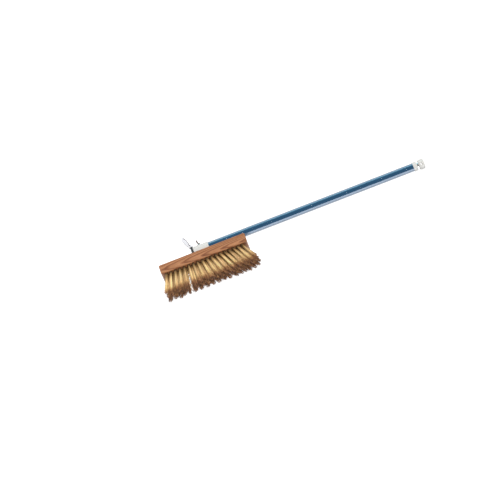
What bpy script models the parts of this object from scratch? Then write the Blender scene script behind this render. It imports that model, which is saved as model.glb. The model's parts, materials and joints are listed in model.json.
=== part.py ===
"""Pool wall brush on a telescopic pole.

Metres, +Z up, floor at z = 0. The brush lies down: the wooden block leans on one long edge, the bristles
point up and towards -Y, and the pole runs along +X just above the floor.

The head is modelled in its own frame, the empty head_frame:
    x  along the block, towards the pole's free end
    y  from the bristle tips to the block's back, where the bracket sits
    z  across the block's width
"""

import math

import bmesh
import bpy
from mathutils import Matrix, Vector

MM = 0.001
GAP = 0.3 * MM  # clearance kept between touching pieces

# Driving dimensions
HEAD_TILT = math.radians(30)  # roll of the head about the pole's direction

BLOCK_LENGTH = 264 * MM
BLOCK_THICKNESS = 30 * MM
BLOCK_WIDTH = 56 * MM
BLOCK_EDGE = 1.2 * MM  # easing of the long edges
BLOCK_CORNER = 4 * MM  # rounding of the end corners

ROWS = 5
ROW_PITCH = 11 * MM
ROW_FAN = math.radians(2)  # each row leans out by this much more than the one inside it
TUFTS_PER_ROW = 18
TUFT_PITCH = 13.5 * MM
TUFT_SHIFT = -2.5 * MM  # the drilling sits slightly off the block's middle
TUFT_ROOT_RADIUS = 3.6 * MM
TUFT_TIP_HALF_DEPTH = 5.3 * MM
TRIM_LENGTH = 65 * MM  # free length of the bristles
SEAT_GAP = 0.7 * MM  # between the block's face and the tufts
NOTCH_DEPTH = 0.55  # share of the trim along which neighbouring tufts stay apart

POLE_HEIGHT = 16.2 * MM  # pole axis above the block's back
PIVOT_X = -26 * MM
PLATE_RADIUS = 24 * MM
PLATE_THICKNESS = 3 * MM
PLATE_SINK = 2 * MM  # depth of the recess that the plate is let into
SCREW_CIRCLE = 17 * MM
SCREW_LENGTH = 18 * MM
STUD_RADIUS = 2.4 * MM
STUD_HOLE_RADIUS = 2.7 * MM
STUD_END = 6 * MM  # how far the bolt reaches into the lever
TONGUE_RADIUS = 10 * MM
TONGUE_THICKNESS = 7.3 * MM
WASHER_THICKNESS = 1 * MM
WASHER_RADIUS = 6.9 * MM
SWIVEL_LEVER_TURN = math.radians(-132)  # where the levers point, about their bolts
CLAMP_LEVER_TURN = math.radians(-117)
ARM_LEAN = math.radians(29)

SOCKET_START = -22 * MM
SOCKET_END = 24 * MM
SOCKET_FLOOR = 4 * MM  # end wall behind the pole
SOCKET_RIM = 5.5 * MM
SOCKET_WAIST = 0.8 * MM  # how far the barrel sinks between its two rims
CLAMP_X = -1 * MM
CLAMP_RADIUS = 1.9 * MM

TUBE_RADIUS = 12.5 * MM
TUBE_WALL = 1.3 * MM
TUBE_START = -15 * MM
TUBE_END = 661 * MM
INNER_WALL = 1.2 * MM
INNER_START = 44 * MM
INNER_END = 670 * MM
CAM_OFFSET = 0.9 * MM
CAM_RADIUS = 10 * MM
JOURNAL_RADIUS = 5 * MM
KNOB_LENGTH = 18.5 * MM
HANG_HOLE_RADIUS = 3.5 * MM

# Sizes that follow from them
BACK = BLOCK_THICKNESS / 2
FACE = -BLOCK_THICKNESS / 2
AXIS_Y = BACK + POLE_HEIGHT
EASED = BLOCK_EDGE * (1 - math.cos(math.pi / 4))  # what the rounding takes off the block's edge
REST_DEPTH = (BACK - EASED) * math.sin(HEAD_TILT) + (BLOCK_WIDTH / 2 - EASED) * math.cos(HEAD_TILT)
REST_RADIUS = REST_DEPTH - AXIS_Y * math.sin(HEAD_TILT)  # round pieces of this radius touch the floor
PLATE_TOP = BACK - PLATE_SINK + GAP + PLATE_THICKNESS
FOOT = PLATE_TOP + GAP
TONGUE_TOP = FOOT + TONGUE_THICKNESS
NUT_SEAT = AXIS_Y + REST_RADIUS + 0.9 * MM
BORE_RADIUS = TUBE_RADIUS + GAP
TUBE_BORE = TUBE_RADIUS - TUBE_WALL
INNER_RADIUS = TUBE_BORE - GAP
INNER_BORE = INNER_RADIUS - INNER_WALL
CLAMP_FLAT = AXIS_Y + REST_RADIUS - SOCKET_WAIST - 0.5 * MM

ALONG_X = (0, math.pi / 2, 0)
ALONG_Y = (-math.pi / 2, 0, 0)
ALONG_Z = (0, 0, 0)
DRILL_Y = (-math.pi / 2, math.radians(3), 0)  # along y, spun so that no edge meets another edge


# Materials


def material(name, colour, roughness, metallic=0.0):
    made = bpy.data.materials.new(name)
    made.use_nodes = True
    shader = made.node_tree.nodes["Principled BSDF"]
    shader.inputs["Base Color"].default_value = (*colour, 1)
    shader.inputs["Roughness"].default_value = roughness
    shader.inputs["Metallic"].default_value = metallic
    return made


def make_materials():
    return {
        "wood": material("wood", (0.50, 0.25, 0.13), 0.55),
        "bristle": material("bristle", (0.56, 0.36, 0.14), 0.7),
        "black_steel": material("black_steel", (0.05, 0.045, 0.04), 0.45, 0.8),
        "zinc": material("zinc", (0.55, 0.53, 0.50), 0.35, 1.0),
        "white_nylon": material("white_nylon", (0.80, 0.79, 0.76), 0.4),
        "black_nylon": material("black_nylon", (0.03, 0.03, 0.03), 0.5),
        "blue_anodised": material("blue_anodised", (0.05, 0.22, 0.40), 0.3, 0.85),
        "aluminium": material("aluminium", (0.70, 0.71, 0.72), 0.35, 1.0),
    }


# Building blocks


def place(name, mesh, parent, location, rotation, mat=None):
    """Wrap a mesh in a named object under a parent; without a material it is a cutter or a guide."""
    made = bpy.data.objects.new(name, mesh)
    bpy.context.scene.collection.objects.link(made)
    made.parent = parent
    made.location = location
    made.rotation_euler = rotation
    if mat:
        mesh.materials.append(mat)
        mesh.shade_smooth()
        mesh.set_sharp_from_angle(angle=math.radians(32))
    else:
        made.hide_render = True
        made.display_type = "WIRE"
    return made


def empty(name, parent=None, location=(0, 0, 0), rotation=(0, 0, 0)):
    made = bpy.data.objects.new(name, None)
    bpy.context.scene.collection.objects.link(made)
    made.parent = parent
    made.location = location
    made.rotation_euler = rotation
    return made


def finish_mesh(bm, name):
    bmesh.ops.recalc_face_normals(bm, faces=bm.faces)
    mesh = bpy.data.meshes.new(name)
    bm.to_mesh(mesh)
    bm.free()
    return mesh


def bridge(bm, first, second):
    """Faces between two rings of vertices; a ring of one vertex is a point on the axis."""
    count = max(len(first), len(second))
    for k in range(count):
        after = (k + 1) % count
        corners = [first[k % len(first)], first[after % len(first)]]
        corners += [second[after % len(second)], second[k % len(second)]]
        bm.faces.new(dict.fromkeys(corners))


def turned(name, outline, segments=32):
    """A solid of revolution about +Z. The outline is (radius, height) points: a closed loop for a ring,
    or a line that starts and ends on the axis for a full body."""
    bm = bmesh.new()
    rings = []
    for radius, height in outline:
        steps = segments if radius > 0 else 1
        angles = [math.tau * k / segments for k in range(steps)]
        rings.append([bm.verts.new((radius * math.cos(a), radius * math.sin(a), height)) for a in angles])
    for first, second in zip(rings, rings[1:]):
        bridge(bm, first, second)
    if outline[0][0] > 0:
        bridge(bm, rings[-1], rings[0])
    return finish_mesh(bm, name)


def rod(name, radius, start, end, segments=32):
    return turned(name, [(0, start), (radius, start), (radius, end), (0, end)], segments)


def ring(name, inner, outer, start, end, segments=32):
    return turned(name, [(inner, start), (outer, start), (outer, end), (inner, end)], segments)


def extruded(name, outline, low, high):
    """A flat outline of (x, y) points, pushed from z = low to z = high."""
    bm = bmesh.new()
    face = bm.faces.new([bm.verts.new((x, y, low)) for x, y in outline])
    pushed = bmesh.ops.extrude_face_region(bm, geom=[face])
    raised = [item for item in pushed["geom"] if isinstance(item, bmesh.types.BMVert)]
    bmesh.ops.translate(bm, verts=raised, vec=(0, 0, high - low))
    return finish_mesh(bm, name)


def box_mesh(name, low, high):
    bm = bmesh.new()
    size = [b - a for a, b in zip(low, high)]
    middle = [(a + b) / 2 for a, b in zip(low, high)]
    bmesh.ops.create_cube(bm, size=1, matrix=Matrix.Translation(middle) @ Matrix.Diagonal((*size, 1)))
    return finish_mesh(bm, name)


def boolean(target, tool, operation):
    step = target.modifiers.new(tool.name, "BOOLEAN")
    step.operation = operation
    step.object = tool
    step.solver = "EXACT"


def cut(target, tool):
    boolean(target, tool, "DIFFERENCE")


def join(target, tool):
    boolean(target, tool, "UNION")


def arc(radius, start, end, steps, centre=(0, 0)):
    """Points on a circle from one angle to another, both included."""
    angles = [start + (end - start) * k / steps for k in range(steps + 1)]
    return [(centre[0] + radius * math.cos(a), centre[1] + radius * math.sin(a)) for a in angles]


# Head


def screw_places():
    """Where the plate's screws sit, as (x, z) on a circle round the pivot."""
    turns = [math.radians(45 + 90 * k) for k in range(4)]
    return [(PIVOT_X + SCREW_CIRCLE * math.cos(a), SCREW_CIRCLE * math.sin(a)) for a in turns]


def block_mesh():
    """The block, with rounded end corners and eased edges."""
    bm = bmesh.new()
    size = (BLOCK_LENGTH, BLOCK_THICKNESS, BLOCK_WIDTH)
    bmesh.ops.create_cube(bm, size=1, matrix=Matrix.Diagonal((*size, 1)))
    corners = [e for e in bm.edges if abs(e.verts[0].co.z - e.verts[1].co.z) > BLOCK_WIDTH / 2]
    bmesh.ops.bevel(bm, geom=corners, offset=BLOCK_CORNER, segments=4, profile=0.5, affect="EDGES")
    rims = [e for e in bm.edges if abs(e.verts[0].co.z - e.verts[1].co.z) < BLOCK_WIDTH / 2]
    bmesh.ops.bevel(bm, geom=rims, offset=BLOCK_EDGE, segments=2, profile=0.5, affect="EDGES")
    return finish_mesh(bm, "brush_block")


def make_block(head, mats):
    block = place("brush_block", block_mesh(), head, (0, 0, 0), ALONG_Z, mats["wood"])
    pivot = (PIVOT_X, 0, 0)
    recess = rod("plate_recess", PLATE_RADIUS + GAP, BACK - PLATE_SINK, BACK + PLATE_SINK, 48)
    cut(block, place("plate_recess", recess, head, pivot, ALONG_Y))
    pocket = rod("bolt_pocket", 5.4 * MM, BACK - 6.5 * MM, BACK + 1 * MM, 25)
    cut(block, place("bolt_pocket", pocket, head, pivot, ALONG_Y))
    for number, (x, z) in enumerate(screw_places(), 1):
        name = f"pilot_hole_{number}"
        hole = rod(name, 1.9 * MM, BACK - SCREW_LENGTH - 1 * MM, BACK + 1 * MM, 15)
        cut(block, place(name, hole, head, (x, 0, z), ALONG_Y))


def tuft_lean(x):
    """How far a tuft leans along the block: the brush is worn outwards, more so at the pole's end."""
    return math.radians(4.5 + 22 * math.tanh((x + 20 * MM) / (70 * MM)))


def row_outline(row):
    """One row seen from the side: separate tufts at the block that merge towards jagged tips.

    Points are (x, depth), with depth measured from the block's face along the bristles."""
    middle = (TUFTS_PER_ROW - 1) / 2
    roots = [(k - middle) * TUFT_PITCH + TUFT_SHIFT for k in range(TUFTS_PER_ROW)]

    def axis_x(root, depth):
        return root + depth * math.tan(tuft_lean(root))

    notch = NOTCH_DEPTH * TRIM_LENGTH
    valley = TRIM_LENGTH - 5 * MM
    points = []
    for k, root in enumerate(roots):
        points.append((root - TUFT_ROOT_RADIUS, SEAT_GAP))
        points.append((root + TUFT_ROOT_RADIUS, SEAT_GAP))
        if k + 1 < len(roots):
            points.append(((axis_x(root, notch) + axis_x(roots[k + 1], notch)) / 2, notch))
    spread = TUFT_PITCH * 0.5
    for k, root in reversed(list(enumerate(roots))):
        short = 1.5 * MM * ((k + row) % 3)
        tip = axis_x(root, TRIM_LENGTH)
        if k + 1 == len(roots):
            points.append((axis_x(root, valley) + spread, valley))
        points.append((tip + 0.3 * spread, TRIM_LENGTH - short))
        points.append((tip - 0.3 * spread, TRIM_LENGTH - short))
        if k > 0:
            points.append(((axis_x(root, valley) + axis_x(roots[k - 1], valley)) / 2, valley))
        else:
            points.append((axis_x(root, valley) - spread, valley))
    return points


def row_mesh(name, row):
    """The row's outline with a thickness that grows from the roots to the tips."""
    bm = bmesh.new()
    outline = row_outline(row)

    def half_depth(depth):
        return TUFT_ROOT_RADIUS + (TUFT_TIP_HALF_DEPTH - TUFT_ROOT_RADIUS) * depth / TRIM_LENGTH

    sides = []
    for sign in (-1, 1):
        sides.append([bm.verts.new((x, -depth, sign * half_depth(depth))) for x, depth in outline])
    bridge(bm, sides[0], sides[1])
    for side in sides:
        bm.faces.new(side)
    return finish_mesh(bm, name)


def make_bristles(head, mats):
    for row in range(1, ROWS + 1):
        step = row - (ROWS + 1) / 2
        name = f"bristle_row_{row}"
        fan = (-ROW_FAN * step, 0, 0)
        place(name, row_mesh(name, row), head, (0, FACE, step * ROW_PITCH), fan, mats["bristle"])


# Swivel bracket


def make_plate(head, mats):
    """Round steel plate, let into the block's back, that the bracket swivels on."""
    low = PLATE_TOP - PLATE_THICKNESS
    disc = ring("swivel_plate", STUD_HOLE_RADIUS, PLATE_RADIUS, low, PLATE_TOP, 48)
    plate = place("swivel_plate", disc, head, (PIVOT_X, 0, 0), ALONG_Y, mats["black_steel"])
    for number, (x, z) in enumerate(screw_places(), 1):
        name = f"countersink_{number}"
        outline = [(0, low - 1 * MM), (1.9 * MM, low - 1 * MM), (1.9 * MM, PLATE_TOP - 1.6 * MM)]
        outline += [(3.6 * MM, PLATE_TOP), (3.6 * MM, PLATE_TOP + 1 * MM), (0, PLATE_TOP + 1 * MM)]
        cut(plate, place(name, turned(name, outline, 15), head, (x, 0, z), ALONG_Y))


def make_screws(head, mats):
    top = PLATE_TOP - 0.1 * MM
    tip = top - SCREW_LENGTH
    outline = [(0, tip), (1.5 * MM, tip + 3 * MM), (1.5 * MM, top - 1.8 * MM), (3.2 * MM, top)]
    outline += [(1.2 * MM, top), (0, top - 0.8 * MM)]
    for number, (x, z) in enumerate(screw_places(), 1):
        name = f"plate_screw_{number}"
        place(name, turned(name, outline, 16), head, (x, 0, z), ALONG_Y, mats["zinc"])


def make_swivel_bolt(head, mats):
    """Bolt whose head is trapped under the plate and whose shank carries the lever."""
    under = PLATE_TOP - PLATE_THICKNESS - GAP
    shank = turned("swivel_bolt", [
        (0, under - 3.6 * MM),
        (STUD_RADIUS, under - 3.6 * MM),
        (STUD_RADIUS, NUT_SEAT + STUD_END - 0.6 * MM),
        (STUD_RADIUS - 0.6 * MM, NUT_SEAT + STUD_END),
        (0, NUT_SEAT + STUD_END),
    ])
    bolt = place("swivel_bolt", shank, head, (PIVOT_X, 0, 0), ALONG_Y, mats["zinc"])
    hexagon = rod("bolt_head", 4.6 * MM, under - 3.5 * MM, under, 6)
    join(bolt, place("bolt_head", hexagon, head, (PIVOT_X, 0, 0), ALONG_Y))


def make_socket(swivel, mats):
    """White barrel that holds the pole, with a tongue that the swivel bolt passes through.

    swivel is the empty on the pivot, so x is measured from there."""
    rim = REST_RADIUS
    waist = REST_RADIUS - SOCKET_WAIST
    start = SOCKET_START - PIVOT_X
    end = SOCKET_END - PIVOT_X
    barrel = turned("pole_socket", [
        (0, start),
        (rim - 1 * MM, start),
        (rim, start + 1 * MM),
        (rim, start + SOCKET_RIM),
        (waist, start + SOCKET_RIM + 1 * MM),
        (waist, end - SOCKET_RIM - 1 * MM),
        (rim, end - SOCKET_RIM),
        (rim, end - 1 * MM),
        (rim - 1 * MM, end),
        (BORE_RADIUS, end),
        (BORE_RADIUS, start + SOCKET_FLOOR),
        (0, start + SOCKET_FLOOR),
    ], 48)
    socket = place("pole_socket", barrel, swivel, (0, AXIS_Y, 0), ALONG_X, mats["white_nylon"])
    nose = arc(TONGUE_RADIUS, math.radians(90), math.radians(270), 12)
    outline = [(start + 2 * MM, -TONGUE_RADIUS), (start + 2 * MM, TONGUE_RADIUS)] + nose
    tongue = extruded("socket_tongue", outline, -TONGUE_TOP, -FOOT)
    join(socket, place("socket_tongue", tongue, swivel, (0, 0, 0), (math.pi / 2, 0, 0)))
    low = (-30 * MM, FOOT - 20 * MM, -20 * MM)
    high = (80 * MM, FOOT, 20 * MM)
    cut(socket, place("foot_cutter", box_mesh("foot_cutter", low, high), swivel, (0, 0, 0), ALONG_Z))
    seat = rod("washer_seat", WASHER_RADIUS + GAP, 0, FOOT + WASHER_THICKNESS + GAP)
    cut(socket, place("washer_seat", seat, swivel, (0, 0, 0), ALONG_Y))
    hole = rod("stud_hole", STUD_HOLE_RADIUS, 0, NUT_SEAT)
    cut(socket, place("stud_hole", hole, swivel, (0, 0, 0), ALONG_Y))
    clamp = (CLAMP_X - PIVOT_X, 0, 0)
    flat = rod("clamp_flat", 5.6 * MM, CLAMP_FLAT, CLAMP_FLAT + 5 * MM, 25)
    cut(socket, place("clamp_flat", flat, swivel, clamp, DRILL_Y))
    bore = rod("clamp_hole", CLAMP_RADIUS + GAP, AXIS_Y + 1 * MM, CLAMP_FLAT + 4 * MM, 15)
    cut(socket, place("clamp_hole", bore, swivel, clamp, DRILL_Y))
    head_seat = rod("clamp_head_seat", 4.4 * MM, FOOT - 3 * MM, AXIS_Y - 1 * MM, 25)
    cut(socket, place("clamp_head_seat", head_seat, swivel, clamp, DRILL_Y))


def make_swivel_stack(head, swivel, mats):
    """Washer under the tongue and spacer sleeve above it."""
    low = FOOT
    washer = ring("swivel_washer", STUD_HOLE_RADIUS, WASHER_RADIUS, low, low + WASHER_THICKNESS)
    place("swivel_washer", washer, head, (PIVOT_X, 0, 0), ALONG_Y, mats["black_nylon"])
    sleeve = turned("swivel_sleeve", [
        (STUD_HOLE_RADIUS, TONGUE_TOP + GAP),
        (3.7 * MM, TONGUE_TOP + GAP),
        (3.3 * MM, NUT_SEAT - GAP),
        (STUD_HOLE_RADIUS, NUT_SEAT - GAP),
    ])
    place("swivel_sleeve", sleeve, swivel, (0, 0, 0), ALONG_Y, mats["black_steel"])


def make_lever(name, axis, hub, arm, mat):
    """A nut with one arm; axis is the empty on its bolt, whose x runs along the arm."""
    lever = place(name, turned(name, hub), axis, (0, 0, 0), ALONG_Y, mat)
    leaf = extruded(f"{name}_arm", arm_outline(arm), -arm["thickness"] / 2, arm["thickness"] / 2)
    join(lever, place(f"{name}_arm", leaf, axis, (0, 0, 0), ALONG_Z))


def arm_outline(arm):
    """A lever's arm: a leaf that leans outwards, in (reach, height) about the bolt."""
    points = []
    for across, along in arc(1, 0, math.tau, 28)[:-1]:
        along *= arm["length"] / 2
        across *= arm["width"] / 2
        reach = arm["reach"] + along * math.sin(ARM_LEAN) + across * math.cos(ARM_LEAN)
        height = arm["height"] + along * math.cos(ARM_LEAN) - across * math.sin(ARM_LEAN)
        points.append((max(reach, arm["inner"]), height))
    return points


def make_swivel_lever(head, mats):
    hub = [
        (0, NUT_SEAT + STUD_END + GAP),
        (STUD_HOLE_RADIUS, NUT_SEAT + STUD_END + GAP),
        (STUD_HOLE_RADIUS, NUT_SEAT),
        (6.6 * MM, NUT_SEAT),
        (6.6 * MM, NUT_SEAT + 2.6 * MM),
        (3.4 * MM, NUT_SEAT + 8 * MM),
        (0, NUT_SEAT + 8.6 * MM),
    ]
    arm = {
        "length": 34 * MM,
        "width": 16 * MM,
        "thickness": 3 * MM,
        "reach": 14.3 * MM,
        "height": NUT_SEAT + 16.6 * MM,
        "inner": STUD_HOLE_RADIUS + 0.6 * MM,
    }
    axis = empty("swivel_lever_axis", head, (PIVOT_X, 0, 0), (0, SWIVEL_LEVER_TURN, 0))
    make_lever("swivel_lever", axis, hub, arm, mats["white_nylon"])


def make_clamp_lever(swivel, low, mats):
    inner = CLAMP_RADIUS + 0.1 * MM
    hub = [(inner, low), (4.2 * MM, low), (3.6 * MM, low + 4.2 * MM), (inner, low + 4.2 * MM)]
    arm = {
        "length": 15 * MM,
        "width": 6.4 * MM,
        "thickness": 1.6 * MM,
        "reach": 6.6 * MM,
        "height": low + 7.2 * MM,
        "inner": CLAMP_RADIUS + 0.8 * MM,
    }
    axis = empty("clamp_lever_axis", swivel, (CLAMP_X - PIVOT_X, 0, 0), (0, CLAMP_LEVER_TURN, 0))
    make_lever("clamp_lever", axis, hub, arm, mats["zinc"])


def make_clamp(swivel, mats):
    """Bolt, washer and small lever nut that hold the pole in its socket."""
    spot = (CLAMP_X - PIVOT_X, 0, 0)
    low = FOOT + GAP
    head_top = AXIS_Y - TUBE_RADIUS - GAP
    end = CLAMP_FLAT + 5.8 * MM
    bolt = turned("clamp_bolt", [
        (0, low),
        (4 * MM, low),
        (4 * MM, head_top),
        (CLAMP_RADIUS, head_top),
        (CLAMP_RADIUS, end - 0.5 * MM),
        (CLAMP_RADIUS - 0.5 * MM, end),
        (0, end),
    ], 24)
    place("clamp_bolt", bolt, swivel, spot, ALONG_Y, mats["zinc"])
    low = CLAMP_FLAT + GAP
    washer = ring("clamp_washer", CLAMP_RADIUS + GAP, 5 * MM, low, low + WASHER_THICKNESS, 24)
    place("clamp_washer", washer, swivel, spot, ALONG_Y, mats["zinc"])
    make_clamp_lever(swivel, low + WASHER_THICKNESS + GAP, mats)


# Pole


def make_outer_tube(swivel, mats):
    """Outer tube, drilled for the clamp bolt, with its end plug and the bushing at its mouth."""
    pole = (-PIVOT_X, AXIS_Y, 0)
    skin = ring("outer_tube", TUBE_BORE, TUBE_RADIUS, TUBE_START, TUBE_END, 64)
    tube = place("outer_tube", skin, swivel, pole, ALONG_X, mats["blue_anodised"])
    hole = rod("tube_hole", CLAMP_RADIUS + GAP, 0, AXIS_Y + 20 * MM, 15)
    cut(tube, place("tube_hole", hole, swivel, (CLAMP_X - PIVOT_X, 0, 0), DRILL_Y))
    plug = turned("tube_end_plug", [
        (0, TUBE_START - 2.7 * MM),
        (TUBE_RADIUS - 1.2 * MM, TUBE_START - 2.7 * MM),
        (TUBE_RADIUS - 0.2 * MM, TUBE_START - 1.7 * MM),
        (TUBE_RADIUS - 0.2 * MM, TUBE_START - GAP),
        (TUBE_BORE - GAP, TUBE_START - GAP),
        (TUBE_BORE - GAP, TUBE_START + 8 * MM),
        (0, TUBE_START + 8 * MM),
    ])
    place("tube_end_plug", plug, swivel, pole, ALONG_X, mats["black_nylon"])
    mouth = TUBE_END + GAP
    bushing = turned("guide_bushing", [
        (TUBE_RADIUS + GAP, TUBE_END - 6 * MM),
        (TUBE_RADIUS + 1 * MM, TUBE_END - 6 * MM),
        (TUBE_RADIUS + 1.4 * MM, TUBE_END - 4 * MM),
        (TUBE_RADIUS + 1.4 * MM, TUBE_END + 4.5 * MM),
        (TUBE_RADIUS, TUBE_END + 6 * MM),
        (INNER_RADIUS + GAP, TUBE_END + 6 * MM),
        (INNER_RADIUS + GAP, mouth),
        (TUBE_RADIUS + GAP, mouth),
    ], 48)
    place("guide_bushing", bushing, swivel, pole, ALONG_X, mats["white_nylon"])


def make_inner_tube(slide, mats):
    """Inner tube, the eccentric lock at its hidden end and the knob at its free end."""
    skin = ring("inner_tube", INNER_BORE, INNER_RADIUS, INNER_START, INNER_END, 48)
    place("inner_tube", skin, slide, (0, 0, 0), ALONG_X, mats["aluminium"])
    shoulder = INNER_START - GAP
    cam_end = shoulder - 3 * MM
    cam_start = cam_end - 16.6 * MM
    core = turned("lock_core", [
        (0, cam_start - 3 * MM),
        (10.4 * MM, cam_start - 3 * MM),
        (10.4 * MM, cam_start),
        (3.6 * MM, cam_start),
        (3.6 * MM, cam_end),
        (10.6 * MM, cam_end),
        (10.6 * MM, shoulder),
        (INNER_BORE - GAP, shoulder),
        (INNER_BORE - GAP, INNER_START + 18 * MM),
        (0, INNER_START + 18 * MM),
    ])
    body = place("lock_core", core, slide, (0, 0, 0), ALONG_X, mats["black_nylon"])
    journal = rod("cam_journal", JOURNAL_RADIUS, cam_start - 1 * MM, cam_end + 1 * MM)
    join(body, place("cam_journal", journal, slide, (0, 0, CAM_OFFSET), ALONG_X))
    make_cam(slide, cam_start + GAP, cam_end - GAP, mats)
    make_knob(slide, mats)


def make_cam(slide, start, end, mats):
    """Eccentric ring that turns on the core's journal until it wedges against the outer tube."""
    journal = empty("cam_axis", slide, (0, 0, CAM_OFFSET))
    disc = rod("lock_cam", CAM_RADIUS, start, end)
    cam = place("lock_cam", disc, journal, (0, 0, -CAM_OFFSET), ALONG_X, mats["white_nylon"])
    bore = rod("cam_bore", JOURNAL_RADIUS + GAP, start - 1 * MM, end + 1 * MM)
    cut(cam, place("cam_bore", bore, journal, (0, 0, 0), ALONG_X))


def make_knob(slide, mats):
    face = INNER_END + GAP
    crown = 5 * MM
    widest = face + KNOB_LENGTH / 2
    outline = [(0, INNER_END - 14 * MM), (INNER_BORE - GAP, INNER_END - 14 * MM), (INNER_BORE - GAP, face)]
    outline += [(REST_RADIUS - 3.2 * MM, face), (REST_RADIUS - 0.6 * MM, face + 3 * MM)]
    outline += [(REST_RADIUS, widest - 1 * MM), (REST_RADIUS, widest + 1 * MM)]
    corner = (REST_RADIUS - crown, face + KNOB_LENGTH - crown)
    outline += arc(crown, 0, math.pi / 2, 5, corner)
    outline += [(0, face + KNOB_LENGTH)]
    body = place("end_knob", turned("end_knob", outline, 48), slide, (0, 0, 0), ALONG_X, mats["white_nylon"])
    hole = rod("hang_hole", HANG_HOLE_RADIUS, -30 * MM, 30 * MM, 24)
    upright = (HEAD_TILT, 0, 0)
    cut(body, place("hang_hole", hole, slide, (widest, 0, 0), upright))


# Assembly


def stand_on_floor(head):
    """Move the whole brush so that it rests on z = 0 with its box centred on the origin."""
    bpy.context.view_layer.update()
    graph = bpy.context.evaluated_depsgraph_get()
    corners = []
    for item in bpy.context.scene.objects:
        if item.type != "MESH" or item.hide_render:
            continue
        shape = item.evaluated_get(graph)
        corners += [shape.matrix_world @ vertex.co for vertex in shape.data.vertices]
    low = Vector([min(c[axis] for c in corners) for axis in range(3)])
    high = Vector([max(c[axis] for c in corners) for axis in range(3)])
    head.location = (-(low.x + high.x) / 2, -(low.y + high.y) / 2, -low.z)
    bpy.context.view_layer.update()


def main():
    for item in list(bpy.data.objects):
        bpy.data.objects.remove(item, do_unlink=True)
    mats = make_materials()
    head = empty("head_frame", rotation=(-HEAD_TILT, 0, 0))
    make_block(head, mats)
    make_bristles(head, mats)
    make_plate(head, mats)
    make_screws(head, mats)
    make_swivel_bolt(head, mats)
    swivel = empty("swivel_axis", head, (PIVOT_X, 0, 0))
    make_socket(swivel, mats)
    make_swivel_stack(head, swivel, mats)
    make_swivel_lever(head, mats)
    make_clamp(swivel, mats)
    make_outer_tube(swivel, mats)
    slide = empty("pole_slide", swivel, (-PIVOT_X, AXIS_Y, 0))
    make_inner_tube(slide, mats)
    stand_on_floor(head)


main()
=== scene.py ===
"""Looks of the pool wall brush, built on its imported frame."""

import json
import math
import random
from types import SimpleNamespace

import bpy
from mathutils import Matrix, Vector

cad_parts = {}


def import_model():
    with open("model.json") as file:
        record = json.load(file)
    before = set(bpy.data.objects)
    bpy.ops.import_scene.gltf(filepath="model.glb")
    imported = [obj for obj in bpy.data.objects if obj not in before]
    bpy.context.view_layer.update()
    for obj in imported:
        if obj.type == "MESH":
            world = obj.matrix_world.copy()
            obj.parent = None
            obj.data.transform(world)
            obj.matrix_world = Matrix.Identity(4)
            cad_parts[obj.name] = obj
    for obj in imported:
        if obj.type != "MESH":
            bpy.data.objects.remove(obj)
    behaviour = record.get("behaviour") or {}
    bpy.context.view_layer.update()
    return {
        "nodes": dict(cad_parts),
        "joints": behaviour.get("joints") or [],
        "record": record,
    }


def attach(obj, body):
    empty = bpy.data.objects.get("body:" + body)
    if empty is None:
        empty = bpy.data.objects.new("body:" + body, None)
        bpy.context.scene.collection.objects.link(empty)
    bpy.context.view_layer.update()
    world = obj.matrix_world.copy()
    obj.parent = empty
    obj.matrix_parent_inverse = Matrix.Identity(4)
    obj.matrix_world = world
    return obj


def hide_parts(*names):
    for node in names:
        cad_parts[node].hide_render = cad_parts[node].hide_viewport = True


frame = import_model()

MM = 0.001
RNG = random.Random(11)

# Sizes repeated from the CAD model
PIVOT_X = -26 * MM
LEVER_TURN = math.radians(-132)
LEAF_REACH = 14.3 * MM
LEAF_HEIGHT = 64.4 * MM
LEAF_LEAN = math.radians(29)
LEAF_LENGTH = 34 * MM
LEAF_WIDTH = 16 * MM
BLOCK_THICKNESS = 30 * MM
BLOCK_WIDTH = 56 * MM
ROWS = 5
ROW_PITCH = 11 * MM
ROW_FAN = math.radians(2)
TUFTS_PER_ROW = 18
TUFT_PITCH = 13.5 * MM
TUFT_SHIFT = -2.5 * MM
TRIM_LENGTH = 65 * MM
LEAN_MEAN = 4.5  # degrees, where the tufts' lean along the block changes fastest
LEAN_CHANGE = 22  # degrees more or less towards the block's ends
LEAN_CENTRE = -20 * MM
LEAN_RUN = 70 * MM

# Tufts; here and below, a pair is the range that a random factor comes from
TUFT_REACH = 116 * MM  # no tuft stands further along the block than this
END_WEAR_FROM = 70 * MM
END_WEAR = 0.14  # share of its length that the last tuft has lost
LEAN_JITTER = 2.2  # degrees
FAN_JITTER = 1.2  # degrees
TUFT_LENGTHS = (0.99, 1.05)
ROOT_RADIUS = 4.3 * MM
ROOT_DEPTH = 1 * MM
TIP_RADIUS = 7.7 * MM
TIP_RADII = (0.8, 1.12)
TIP_DEPTH = 0.74  # a tuft's end is this much thinner across the rows than along them
GATHER = 2.3 * MM  # how far a tuft's outermost filaments curve in before they flare
POINTED = 0.07  # how much shorter a tuft's outermost filaments are
STRAYS = 0.07  # share of filaments that stick out of their tuft
STRAY_REACH = 1.5

# Filaments
FILAMENTS = 125  # in one tuft
FILAMENT_STEPS = 5
FILAMENT_SIDES = 3
FILAMENT_RADIUS = 0.38 * MM
FILAMENT_RADII = (0.8, 1.15)
FILAMENT_TAPER = 0.45  # share of its radius that a filament loses towards its tip
FILAMENT_LENGTHS = (0.9, 1.0)
BOW = 0.8 * MM
CRIMP = 0.35 * MM
CRIMP_TURN_X = 9  # radians along a whole filament
CRIMP_TURN_Z = 7

# The bristles part here, right through the brush
PARTING_X = -55.6 * MM
PARTING_SLOPE = 0.139
PARTING_PUSH = 1.7 * MM
PARTING_REACH = 7 * MM
PARTING_FULL = 0.25  # share of a filament's length where its push is at full strength

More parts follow.
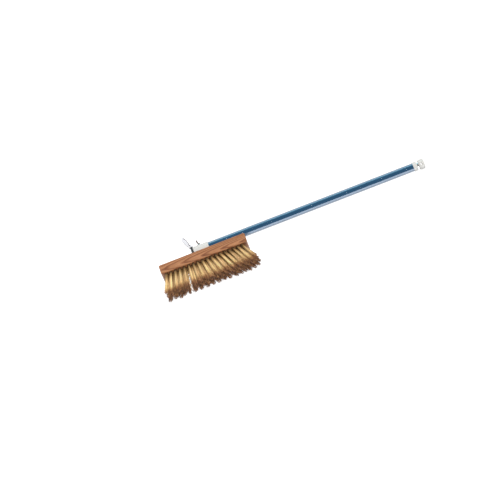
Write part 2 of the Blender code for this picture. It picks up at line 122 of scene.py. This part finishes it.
# Bristle colours
STRAW = [  # along a filament, from painted shade at the root over straw to a dark brown tip
    (0.0, (0.030, 0.011, 0.004)),
    (0.11, (0.070, 0.030, 0.011)),
    (0.22, (0.56, 0.330, 0.130)),
    (0.45, (1.00, 0.680, 0.345)),
    (0.77, (0.98, 0.620, 0.285)),
    (0.85, (0.46, 0.190, 0.075)),
    (1.0, (0.210, 0.072, 0.030)),
]
TUFT_TONES = (0.9, 1.12)
INNER_ROW_SHADE = 0.72  # painted shade: the rows behind the outermost one are darker
CLUMPS = 7  # strands of one tone in a tuft
CLUMP_TONES = (0.72, 1.28)
FILAMENT_TONES = (0.7, 1.3)
# painted shade between tufts: a tuft's middle is lightened by this, its sides darkened by SIDE_SHADE
MIDDLE_TONE = 1.16
SIDE_SHADE = 0.6  # painted shade: how much darker a tuft is where it faces its neighbours
TIP_BROWN_SPREAD = (-0.08, 0.06)  # added to how far the dark brown tip reaches up a filament
TIP_BROWN_DROP = 0.014  # how much less far the dark brown reaches up each higher row's tips

# Block: where the tree's heart runs, nearly along the block
HEART_PLACE = (0, 6 * MM, -12 * MM)
HEART_TURN = (0, math.radians(3.2), math.radians(1.5))

# Lever: painted shade in an oval ring round its leaf, on the inner half only, for the leaf's shaded
# inner edge
LEAF_RING = 0.625  # share of the leaf's length and width that counts as 1
LEAF_EDGE_SHADE = (0.14, 0.13, 0.12)
LEAF_SHADE_RING = (0.47, 0.54, 0.81, 0.84)  # starts, is full, is still full, ends
LEAF_SHADE_SIDE = -0.1  # across the leaf; the painted shade stays inwards of this
UNSHADED = (1, 1, 1)

# Moulded and plated surfaces
PATCHES = 18  # how many times broader the colour's patches are than the gloss's grain
GLOSSIER = 0.85  # times the roughness, at the grain's glossiest
DULLER = 1.2

# Shading of the CAD pieces
CORNER_GAP = 0.001 * MM  # corners closer than this are one
HARD_EDGE = math.radians(34)

# Studio
TABLE_SIZE = 12
TABLE_DROP = 0.5 * MM
TABLE_GLOW = 1.0  # to the camera
TABLE_IN_GLOSS = 0.8  # more than that in reflections
TABLE_AS_LAMP = -0.7  # less than that where it lights the brush
BOX_DISTANCE = 3.0
BOX_LENGTH = 7
SUN_TOWARDS = (0.12, 0.22, 0.97)
SUN_STRENGTH = 3.5
SUN_ANGLE = math.radians(14)

# Camera: straight down, turned so that the pole climbs to the right
VIEW_TURN = math.radians(21.16)
FIELD = 1.435  # width of the view at the brush
LENS = 200
SENSOR = 36
AIM_RIGHT = 0.1403  # from the middle of the block's upper back edge to the view's centre
AIM_UP = -0.0023


# Frame of the head


def head_matrix():
    """Head frame: x along the block, y from the bristles to the back, z across the width."""
    swivel = next(j for j in frame["joints"] if j["name"] == "pole_swivel")
    across = Vector((1, 0, 0))
    back = -Vector(swivel["axis"]).normalized()
    up = across.cross(back)
    turn = Matrix((across, back, up)).transposed()
    origin = Vector(swivel["pos_m"]) - PIVOT_X * across
    return Matrix.Translation(origin) @ turn.to_4x4()


HEAD = head_matrix()


# Node helpers


def new_material(name):
    made = bpy.data.materials.new(name)
    made.use_nodes = True
    tree = made.node_tree
    return made, tree, tree.nodes["Principled BSDF"]


def add(tree, kind, **values):
    node = tree.nodes.new(kind)
    for key, value in values.items():
        setattr(node, key, value)
    return node


def ramp(tree, source, stops):
    """A colour ramp of (position, colour) stops, fed by a socket."""
    node = add(tree, "ShaderNodeValToRGB")
    elements = node.color_ramp.elements
    while len(elements) < len(stops):
        elements.new(0.5)
    for element, (position, colour) in zip(elements, stops):
        element.position = position
        element.color = (*colour, 1)
    tree.links.new(source, node.inputs[0])
    return node.outputs[0]


def noise(tree, vector, scale, detail=3.0):
    node = add(tree, "ShaderNodeTexNoise")
    node.inputs["Scale"].default_value = scale
    node.inputs["Detail"].default_value = detail
    node.inputs["Roughness"].default_value = 0.55
    tree.links.new(vector, node.inputs["Vector"])
    return node.outputs["Fac"]


def object_coords(tree):
    return add(tree, "ShaderNodeTexCoord").outputs["Object"]


def coords_from(tree, origin):
    """Where a surface point is from an origin, along the part's axes, in metres."""
    shift = add(tree, "ShaderNodeVectorMath", operation="SUBTRACT")
    shift.inputs[1].default_value = origin
    tree.links.new(object_coords(tree), shift.inputs[0])
    return shift.outputs[0]


def mapped(tree, vector, **values):
    """A vector that a Mapping node moves, turns or stretches, as its named inputs say."""
    node = add(tree, "ShaderNodeMapping")
    for name, value in values.items():
        node.inputs[name].default_value = value
    tree.links.new(vector, node.inputs["Vector"])
    return node.outputs[0]


def head_coords(tree, stretch=(1, 1, 1)):
    """Texture coordinates along the head's own axes, in metres, times a stretch."""
    unturned = HEAD.to_3x3().inverted().to_euler()
    turned = mapped(tree, coords_from(tree, HEAD.translation), Rotation=unturned)
    return mapped(tree, turned, Scale=stretch)


def along_axis(tree, origin, axis, size):
    """Distance of a surface point from an origin along an axis, in units of a size."""
    share = add(tree, "ShaderNodeVectorMath", operation="DOT_PRODUCT")
    share.inputs[1].default_value = axis / size
    tree.links.new(coords_from(tree, origin), share.inputs[0])
    return share.outputs["Value"]


def mix_colour(tree, factor, first, second, blend="MIX"):
    node = add(tree, "ShaderNodeMix", data_type="RGBA", blend_type=blend)
    for socket, value in ((0, factor), (6, first), (7, second)):
        if isinstance(value, bpy.types.NodeSocket):
            tree.links.new(value, node.inputs[socket])
        elif socket == 0:
            node.inputs[0].default_value = value
        else:
            node.inputs[socket].default_value = (*value, 1)
    return node.outputs[2]


def times_plus(tree, value, factor, extra):
    """A socket's value times a factor, plus a number or another socket's value."""
    node = add(tree, "ShaderNodeMath", operation="MULTIPLY_ADD")
    tree.links.new(value, node.inputs[0])
    node.inputs[1].default_value = factor
    if isinstance(extra, bpy.types.NodeSocket):
        tree.links.new(extra, node.inputs[2])
    else:
        node.inputs[2].default_value = extra
    return node.outputs[0]


def bump(tree, shader, height, strength, distance):
    node = add(tree, "ShaderNodeBump")
    node.inputs["Strength"].default_value = strength
    node.inputs["Distance"].default_value = distance
    tree.links.new(height, node.inputs["Height"])
    tree.links.new(node.outputs[0], shader.inputs["Normal"])


def vary_roughness(tree, shader, source, low, high):
    """Let the roughness follow a socket's value between two limits."""
    shine = add(tree, "ShaderNodeMapRange")
    shine.inputs["To Min"].default_value = low
    shine.inputs["To Max"].default_value = high
    tree.links.new(source, shine.inputs["Value"])
    tree.links.new(shine.outputs[0], shader.inputs["Roughness"])


# Materials


def growth_rings(tree):
    """Rings round the tree's heart, which plain sawing cuts into long arches."""
    wave = add(tree, "ShaderNodeTexWave", wave_type="RINGS", rings_direction="X", wave_profile="SAW")
    wave.inputs["Scale"].default_value = 95
    wave.inputs["Distortion"].default_value = 1.1
    wave.inputs["Detail"].default_value = 3
    wave.inputs["Detail Scale"].default_value = 0.5
    heart = mapped(tree, head_coords(tree), Location=HEART_PLACE, Rotation=HEART_TURN)
    tree.links.new(heart, wave.inputs["Vector"])
    return wave.outputs["Fac"]


def wood_material():
    """Warm hardwood: arched rings, fine pores and a thin satin varnish."""
    made, tree, shader = new_material("varnished_wood")
    base = ramp(tree, growth_rings(tree), [
        (0.0, (0.46, 0.210, 0.098)),
        (0.50, (0.40, 0.174, 0.075)),
        (0.84, (0.19, 0.062, 0.022)),
        (1.0, (0.33, 0.134, 0.056)),
    ])
    pores = noise(tree, head_coords(tree, stretch=(60, 900, 900)), 1, 2)
    pore_tone = ramp(tree, pores, [(0.35, (0.66, 0.6, 0.56)), (0.55, (1, 1, 1))])
    streaks = noise(tree, head_coords(tree, stretch=(9, 190, 190)), 1, 3)
    streak_tone = ramp(tree, streaks, [(0.3, (0.74, 0.68, 0.62)), (0.7, (1.1, 1.08, 1.06))])
    toned = mix_colour(tree, 0.8, base, streak_tone, "MULTIPLY")
    toned = mix_colour(tree, 0.6, toned, pore_tone, "MULTIPLY")
    tree.links.new(toned, shader.inputs["Base Color"])
    shader.inputs["Roughness"].default_value = 0.42
    shader.inputs["Coat Weight"].default_value = 0.12
    shader.inputs["Coat Roughness"].default_value = 0.35
    shader.inputs["Specular IOR Level"].default_value = 0.3
    bump(tree, shader, pores, strength=0.25, distance=0.3 * MM)
    return made


def bristle_material():
    """Coarse stiff filament whose colour along its length, painted shade included, is stored on the
    mesh.
    """
    made, tree, shader = new_material("bristle_filament")
    tint = add(tree, "ShaderNodeAttribute", attribute_name="tint")
    tree.links.new(tint.outputs["Color"], shader.inputs["Base Color"])
    shader.inputs["Roughness"].default_value = 0.6
    shader.inputs["Specular IOR Level"].default_value = 0.3
    return made


def speckled(name, colour, roughness, metallic=0.0, grain=900, depth=0.12, spread=0.12):
    """A moulded or plated surface: gloss varies over a fine grain, colour over a broad one."""
    made, tree, shader = new_material(name)
    fine = noise(tree, object_coords(tree), grain, 3)
    broad = noise(tree, object_coords(tree), grain / PATCHES, 2)
    darker = tuple(c * (1 - spread) for c in colour)
    lighter = tuple(min(1, c * (1 + spread / 2)) for c in colour)
    tone = ramp(tree, broad, [(0.3, darker), (0.7, lighter)])
    tree.links.new(tone, shader.inputs["Base Color"])
    vary_roughness(tree, shader, fine, low=roughness * GLOSSIER, high=roughness * DULLER)
    shader.inputs["Metallic"].default_value = metallic
    bump(tree, shader, fine, depth, distance=0.2 * MM)
    return made


def anodised_material():
    """Blue dyed tube with fine drawing lines along it under a glossy seal."""
    made, tree, shader = new_material("blue_anodised_tube")
    lines = noise(tree, mapped(tree, object_coords(tree), Scale=(3, 1400, 1400)), 1, 2)
    tone = ramp(tree, lines, [(0.3, (0.004, 0.050, 0.115)), (0.7, (0.008, 0.070, 0.150))])
    tree.links.new(tone, shader.inputs["Base Color"])
    shader.inputs["Metallic"].default_value = 0.12
    shader.inputs["IOR"].default_value = 2.1
    vary_roughness(tree, shader, lines, low=0.11, high=0.19)
    return made


def leaf_coords(tree):
    """Sockets that run along and across the lever's leaf, from 0 at its middle."""
    turn = HEAD.to_3x3()
    outwards = turn @ Vector((math.cos(LEVER_TURN), 0, -math.sin(LEVER_TURN)))
    upwards = turn @ Vector((0, 1, 0))
    middle = HEAD @ Vector((PIVOT_X, 0, 0)) + outwards * LEAF_REACH + upwards * LEAF_HEIGHT
    long_way = outwards * math.sin(LEAF_LEAN) + upwards * math.cos(LEAF_LEAN)
    wide_way = outwards * math.cos(LEAF_LEAN) - upwards * math.sin(LEAF_LEAN)
    along = along_axis(tree, middle, long_way, LEAF_LENGTH * LEAF_RING)
    return along, along_axis(tree, middle, wide_way, LEAF_WIDTH * LEAF_RING)


def leaf_shade_line(tree):
    """Painted shade: a dark oval ring near the leaf's edge, kept to the side that faces inwards."""
    along, across = leaf_coords(tree)
    spot = add(tree, "ShaderNodeCombineXYZ")
    tree.links.new(along, spot.inputs["X"])
    tree.links.new(across, spot.inputs["Y"])
    reach = add(tree, "ShaderNodeVectorMath", operation="LENGTH")
    tree.links.new(spot.outputs[0], reach.inputs[0])
    stops = list(zip(LEAF_SHADE_RING, (UNSHADED, LEAF_EDGE_SHADE, LEAF_EDGE_SHADE, UNSHADED)))
    edge = ramp(tree, reach.outputs["Value"], stops)
    inner = add(tree, "ShaderNodeMath", operation="LESS_THAN")
    inner.inputs[1].default_value = LEAF_SHADE_SIDE
    tree.links.new(across, inner.inputs[0])
    return mix_colour(tree, inner.outputs[0], UNSHADED, edge)


def lever_material():
    """White moulding with a painted shade line along the inner edge of the lever's leaf."""
    made = speckled("lever_moulding", (0.74, 0.74, 0.77), 0.36, grain=1200, depth=0.1, spread=0.04)
    tree = made.node_tree
    base = tree.nodes["Principled BSDF"].inputs["Base Color"]
    moulding_tone = base.links[0].from_socket
    tree.links.new(mix_colour(tree, 1.0, moulding_tone, leaf_shade_line(tree), "MULTIPLY"), base)
    return made


def white_nylon():
    colour = (0.60, 0.585, 0.55)
    return speckled("white_nylon_moulding", colour, 0.36, grain=1200, depth=0.1, spread=0.05)


def black_nylon():
    return speckled("black_nylon_moulding", (0.03, 0.03, 0.032), 0.45, grain=1200)


def zinc_plate():
    colour = (0.58, 0.56, 0.53)
    return speckled("zinc_plate", colour, 0.32, metallic=1.0, grain=500, depth=0.1, spread=0.2)


# Painted shade: the plated clamp lever is coloured the dark brown of its shaded side.
def shade_darkened_steel():
    colour = (0.17, 0.125, 0.10)
    return speckled("shade_darkened_steel", colour, 0.5, metallic=0.6, grain=500, depth=0.1, spread=0.25)


def black_steel():
    return speckled("black_steel_satin", (0.055, 0.052, 0.05), 0.42, metallic=0.4, grain=700)


def mill_aluminium():
    colour = (0.72, 0.73, 0.74)
    return speckled("mill_aluminium", colour, 0.3, metallic=1.0, grain=600, depth=0.08, spread=0.08)


def make_materials():
    """Materials by node name, or else by the CAD material slot that they dress."""
    return {
        "swivel_lever": lever_material(),
        # painted shade: the clamp lever gets the dark brown of its shaded side
        "clamp_lever": shade_darkened_steel(),
        "wood": wood_material(),
        "bristle": bristle_material(),
        "black_steel": black_steel(),
        "zinc": zinc_plate(),
        "white_nylon": white_nylon(),
        "black_nylon": black_nylon(),
        "blue_anodised": anodised_material(),
        "aluminium": mill_aluminium(),
    }


# CAD pieces


def shade_round(piece):
    """Join the facets' corners and shade them round, except across hard edges."""
    piece.data.shade_smooth()
    piece.modifiers.new("joined_corners", "WELD").merge_threshold = CORNER_GAP
    hard = piece.modifiers.new("hard_edges", "EDGE_SPLIT")
    hard.split_angle = HARD_EDGE
    hard.use_edge_sharp = False
    piece.modifiers.new("even_normals", "WEIGHTED_NORMAL").mode = "FACE_AREA"


def dress_nodes(materials):
    """Give every CAD node its own or its slot's material, and smooth shading."""
    for part in frame["record"]["subparts"]:
        piece = frame["nodes"][part["node"]]
        shade_round(piece)
        for place in piece.material_slots:
            place.material = materials.get(part["node"], materials[part["material_slot"]])


# Bristles


def tuft_lean(x):
    """How far a tuft leans along the block, in degrees: the brush is worn outwards."""
    return LEAN_MEAN + LEAN_CHANGE * math.tanh((x - LEAN_CENTRE) / LEAN_RUN)


def tuft_roots():
    middle = (TUFTS_PER_ROW - 1) / 2
    return [(k - middle) * TUFT_PITCH + TUFT_SHIFT for k in range(TUFTS_PER_ROW)]


def blend_colours(stops, at):
    """Linear colour between (position, colour) stops."""
    for (low, first), (high, second) in zip(stops, stops[1:]):
        if at <= high:
            share = (at - low) / (high - low)
            return [a + (b - a) * share for a, b in zip(first, second)]
    return list(stops[-1][1])


def part_bristles(spot, share):
    """Push a point of a filament away from the parting, less the further off it is."""
    seen = (HEAD.to_3x3() @ spot).y
    off = spot.x - PARTING_X - PARTING_SLOPE * seen
    push = PARTING_PUSH * min(1, share / PARTING_FULL) * (1 + share)
    spot.x += math.copysign(push * math.exp(-abs(off) / PARTING_REACH), off)


def close_filament(faces, first):
    """Walls and two ends round the rings of points that start at a first one."""
    for step in range(FILAMENT_STEPS):
        for side in range(FILAMENT_SIDES):
            a = first + FILAMENT_SIDES * step + side
            b = first + FILAMENT_SIDES * step + (side + 1) % FILAMENT_SIDES
            faces.append((a, b, b + FILAMENT_SIDES, a + FILAMENT_SIDES))
    last = first + FILAMENT_SIDES * FILAMENT_STEPS
    faces.append(tuple(last + side for side in range(FILAMENT_SIDES)))
    faces.append(tuple(first + side for side in reversed(range(FILAMENT_SIDES))))


def filament(strands, root, tip, bend, radius, shade, tint_stretch):
    """One tapered, slightly crimped filament; its last argument is the tint's place at its tip."""
    phase = RNG.uniform(0, math.tau)
    first = len(strands.verts)
    for step in range(FILAMENT_STEPS + 1):
        t = step / FILAMENT_STEPS
        centre = root.lerp(tip, t) + bend * (4 * t * (1 - t))
        crimp = Vector((math.sin(phase + CRIMP_TURN_X * t), 0, math.cos(phase + CRIMP_TURN_Z * t)))
        centre += crimp * CRIMP * t
        part_bristles(centre, t)
        width = radius * (1 - FILAMENT_TAPER * t)
        colour = [min(1, c * shade) for c in blend_colours(STRAW, min(1, t * tint_stretch))]
        for side in range(FILAMENT_SIDES):
            angle = phase + math.tau * side / FILAMENT_SIDES
            strands.verts.append(centre + Vector((math.cos(angle), 0, math.sin(angle))) * width)
            strands.tints.append((*colour, 1))
    close_filament(strands.faces, first)


def end_trim(x):
    """How much of its length a tuft keeps: the last ones towards the pole are worn shorter."""
    return 1 - END_WEAR * max(0, (x - END_WEAR_FROM) / (TUFT_REACH - END_WEAR_FROM)) ** 2


def tuft_axis(root_x, step):
    """A tuft's direction, and its length; step counts the rows from the middle one."""
    lean = math.radians(tuft_lean(root_x) + RNG.uniform(-LEAN_JITTER, LEAN_JITTER))
    fan = ROW_FAN * step + math.radians(RNG.uniform(-FAN_JITTER, FAN_JITTER))
    along = Vector((math.sin(lean), -math.cos(lean) * math.cos(fan), math.sin(fan)))
    return along, TRIM_LENGTH / math.cos(lean) * RNG.uniform(*TUFT_LENGTHS) * end_trim(root_x)


def tuft(strands, root_x, row):
    """A round bundle that leaves its hole and flares towards a ragged end."""
    step = row - (ROWS + 1) / 2
    hole = Vector((root_x, -BLOCK_THICKNESS / 2, step * ROW_PITCH))
    along, length = tuft_axis(root_x, step)
    # painted shade: every row but the outermost one is darkened
    tone = RNG.uniform(*TUFT_TONES) * (1 if row == ROWS else INNER_ROW_SHADE)
    clumps = [RNG.uniform(*CLUMP_TONES) for _ in range(CLUMPS)]
    for _ in range(FILAMENTS):
        reach = math.sqrt(RNG.random())
        turn = RNG.uniform(0, math.tau)
        spot = Vector((math.cos(turn), 0, math.sin(turn))) * reach
        root = hole + Vector((0, ROOT_DEPTH, 0)) + spot * ROOT_RADIUS
        stray = STRAY_REACH if RNG.random() < STRAYS else 1
        flare = spot * TIP_RADIUS * RNG.uniform(*TIP_RADII) * stray
        flare.z *= TIP_DEPTH
        reach_out = length * RNG.uniform(*FILAMENT_LENGTHS) * (1 - POINTED * reach ** 2)
        tip = hole + along * reach_out + flare
        bend = Vector((RNG.uniform(-1, 1), 0, RNG.uniform(-1, 1))) * BOW - spot * GATHER
        shade = tone * clumps[int(turn / math.tau * CLUMPS)] * RNG.uniform(*FILAMENT_TONES)
        # painted shade: lighter in a tuft's middle, darker where it faces its neighbours
        shade *= MIDDLE_TONE - SIDE_SHADE * spot.x ** 2
        tint_stretch = 1 + RNG.uniform(*TIP_BROWN_SPREAD) - TIP_BROWN_DROP * (row - 1)
        radius = FILAMENT_RADIUS * RNG.uniform(*FILAMENT_RADII)
        filament(strands, root, tip, bend, radius, shade, tint_stretch)


def in_scene(name, data):
    """A new object in the scene that shows a mesh, a light or a camera."""
    made = bpy.data.objects.new(name, data)
    bpy.context.scene.collection.objects.link(made)
    return made


def bristle_row(row, mat):
    """One row of tufts; every second row stands half a pitch further along."""
    strands = SimpleNamespace(verts=[], faces=[], tints=[])
    stagger = TUFT_PITCH / 2 if row % 2 == 0 else 0
    for root_x in tuft_roots():
        tuft(strands, min(root_x + stagger, TUFT_REACH), row)
    mesh = bpy.data.meshes.new(f"filaments_{row}")
    mesh.from_pydata([HEAD @ v for v in strands.verts], [], strands.faces)
    layer = mesh.color_attributes.new("tint", "FLOAT_COLOR", "POINT")
    layer.data.foreach_set("color", [c for tint in strands.tints for c in tint])
    mesh.shade_smooth()
    mesh.materials.append(mat)
    piece = in_scene(f"filaments_{row}", mesh)
    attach(piece, "head")
    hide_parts(f"bristle_row_{row}")


# Studio


def table_material():
    """White that glows most in reflections and hardly lights the brush."""
    made, tree, shader = new_material("white_table")
    shader.inputs["Base Color"].default_value = (0.35, 0.35, 0.36, 1)
    shader.inputs["Roughness"].default_value = 0.9
    shader.inputs["Emission Color"].default_value = (1, 1, 1, 1)
    path = add(tree, "ShaderNodeLightPath")
    glow = times_plus(tree, path.outputs["Is Glossy Ray"], TABLE_IN_GLOSS, TABLE_GLOW)
    glow = times_plus(tree, path.outputs["Is Diffuse Ray"], TABLE_AS_LAMP, glow)
    tree.links.new(glow, shader.inputs["Emission Strength"])
    return made


def floor():
    bpy.ops.mesh.primitive_plane_add(size=TABLE_SIZE, location=(0, 0, -TABLE_DROP))
    plane = bpy.context.object
    plane.name = "table"
    plane.data.materials.append(table_material())


def softbox(name, towards, height, radiance, colour):
    """Long reflector that faces the brush from a direction and shows only in glossy surfaces."""
    lamp = bpy.data.lights.new(name, "AREA")
    lamp.shape = "RECTANGLE"
    lamp.size = BOX_LENGTH
    lamp.size_y = height
    lamp.energy = radiance * math.pi * BOX_LENGTH * height
    lamp.color = colour
    holder = in_scene(name, lamp)
    towards = Vector(towards).normalized()
    holder.location = towards * BOX_DISTANCE
    holder.rotation_euler = towards.to_track_quat("Z", "Y").to_euler()
    holder.visible_camera = False
    holder.visible_diffuse = False


def sun():
    """One soft light from above, so that the bristles and the wood have shape."""
    lamp = bpy.data.lights.new("key", "SUN")
    lamp.energy = SUN_STRENGTH
    lamp.angle = SUN_ANGLE
    holder = in_scene("key", lamp)
    holder.rotation_euler = Vector(SUN_TOWARDS).to_track_quat("Z", "Y").to_euler()
    holder.visible_glossy = False


def world():
    """Dim surroundings for reflections, white where the camera looks past the table."""
    made = bpy.data.worlds.new("studio")
    bpy.context.scene.world = made
    made.use_nodes = True
    tree = made.node_tree
    tree.nodes.clear()
    out = add(tree, "ShaderNodeOutputWorld")
    dim = add(tree, "ShaderNodeBackground")
    dim.inputs["Color"].default_value = (0.9, 0.95, 1.0, 1)
    dim.inputs["Strength"].default_value = 0.22
    white = add(tree, "ShaderNodeBackground")
    white.inputs["Strength"].default_value = 1.1
    path = add(tree, "ShaderNodeLightPath")
    choose = add(tree, "ShaderNodeMixShader")
    tree.links.new(path.outputs["Is Camera Ray"], choose.inputs[0])
    tree.links.new(dim.outputs[0], choose.inputs[1])
    tree.links.new(white.outputs[0], choose.inputs[2])
    tree.links.new(choose.outputs[0], out.inputs[0])


def studio():
    floor()
    world()
    softbox("front_box", (0, -0.88, 0.47), height=2.6, radiance=3.7, colour=(0.88, 0.93, 1.0))
    softbox("back_low_box", (0, 0.97, 0.22), height=1.0, radiance=3.4, colour=(0.45, 0.88, 1.0))
    softbox("back_high_box", (0, 0.82, 0.57), height=1.2, radiance=0.3, colour=(0.4, 0.85, 1.0))
    sun()
    bpy.context.scene.view_settings.view_transform = "Standard"
    bpy.context.scene.view_settings.look = "None"


def camera():
    """Long lens straight above the brush, turned by VIEW_TURN."""
    edge = HEAD @ Vector((0, BLOCK_THICKNESS / 2, BLOCK_WIDTH / 2))
    right = Vector((math.cos(VIEW_TURN), -math.sin(VIEW_TURN), 0))
    up = Vector((math.sin(VIEW_TURN), math.cos(VIEW_TURN), 0))
    lens = bpy.data.cameras.new("camera")
    lens.lens = LENS
    lens.sensor_width = SENSOR
    lens.clip_end = 100
    holder = in_scene("camera", lens)
    aim = edge + right * AIM_RIGHT + up * AIM_UP
    holder.location = aim + Vector((0, 0, FIELD * LENS / SENSOR))
    holder.rotation_euler = Matrix((right, up, right.cross(up))).transposed().to_euler()
    bpy.context.scene.camera = holder


materials = make_materials()
dress_nodes(materials)
for row in range(1, ROWS + 1):
    bristle_row(row, materials["bristle"])
studio()
camera()
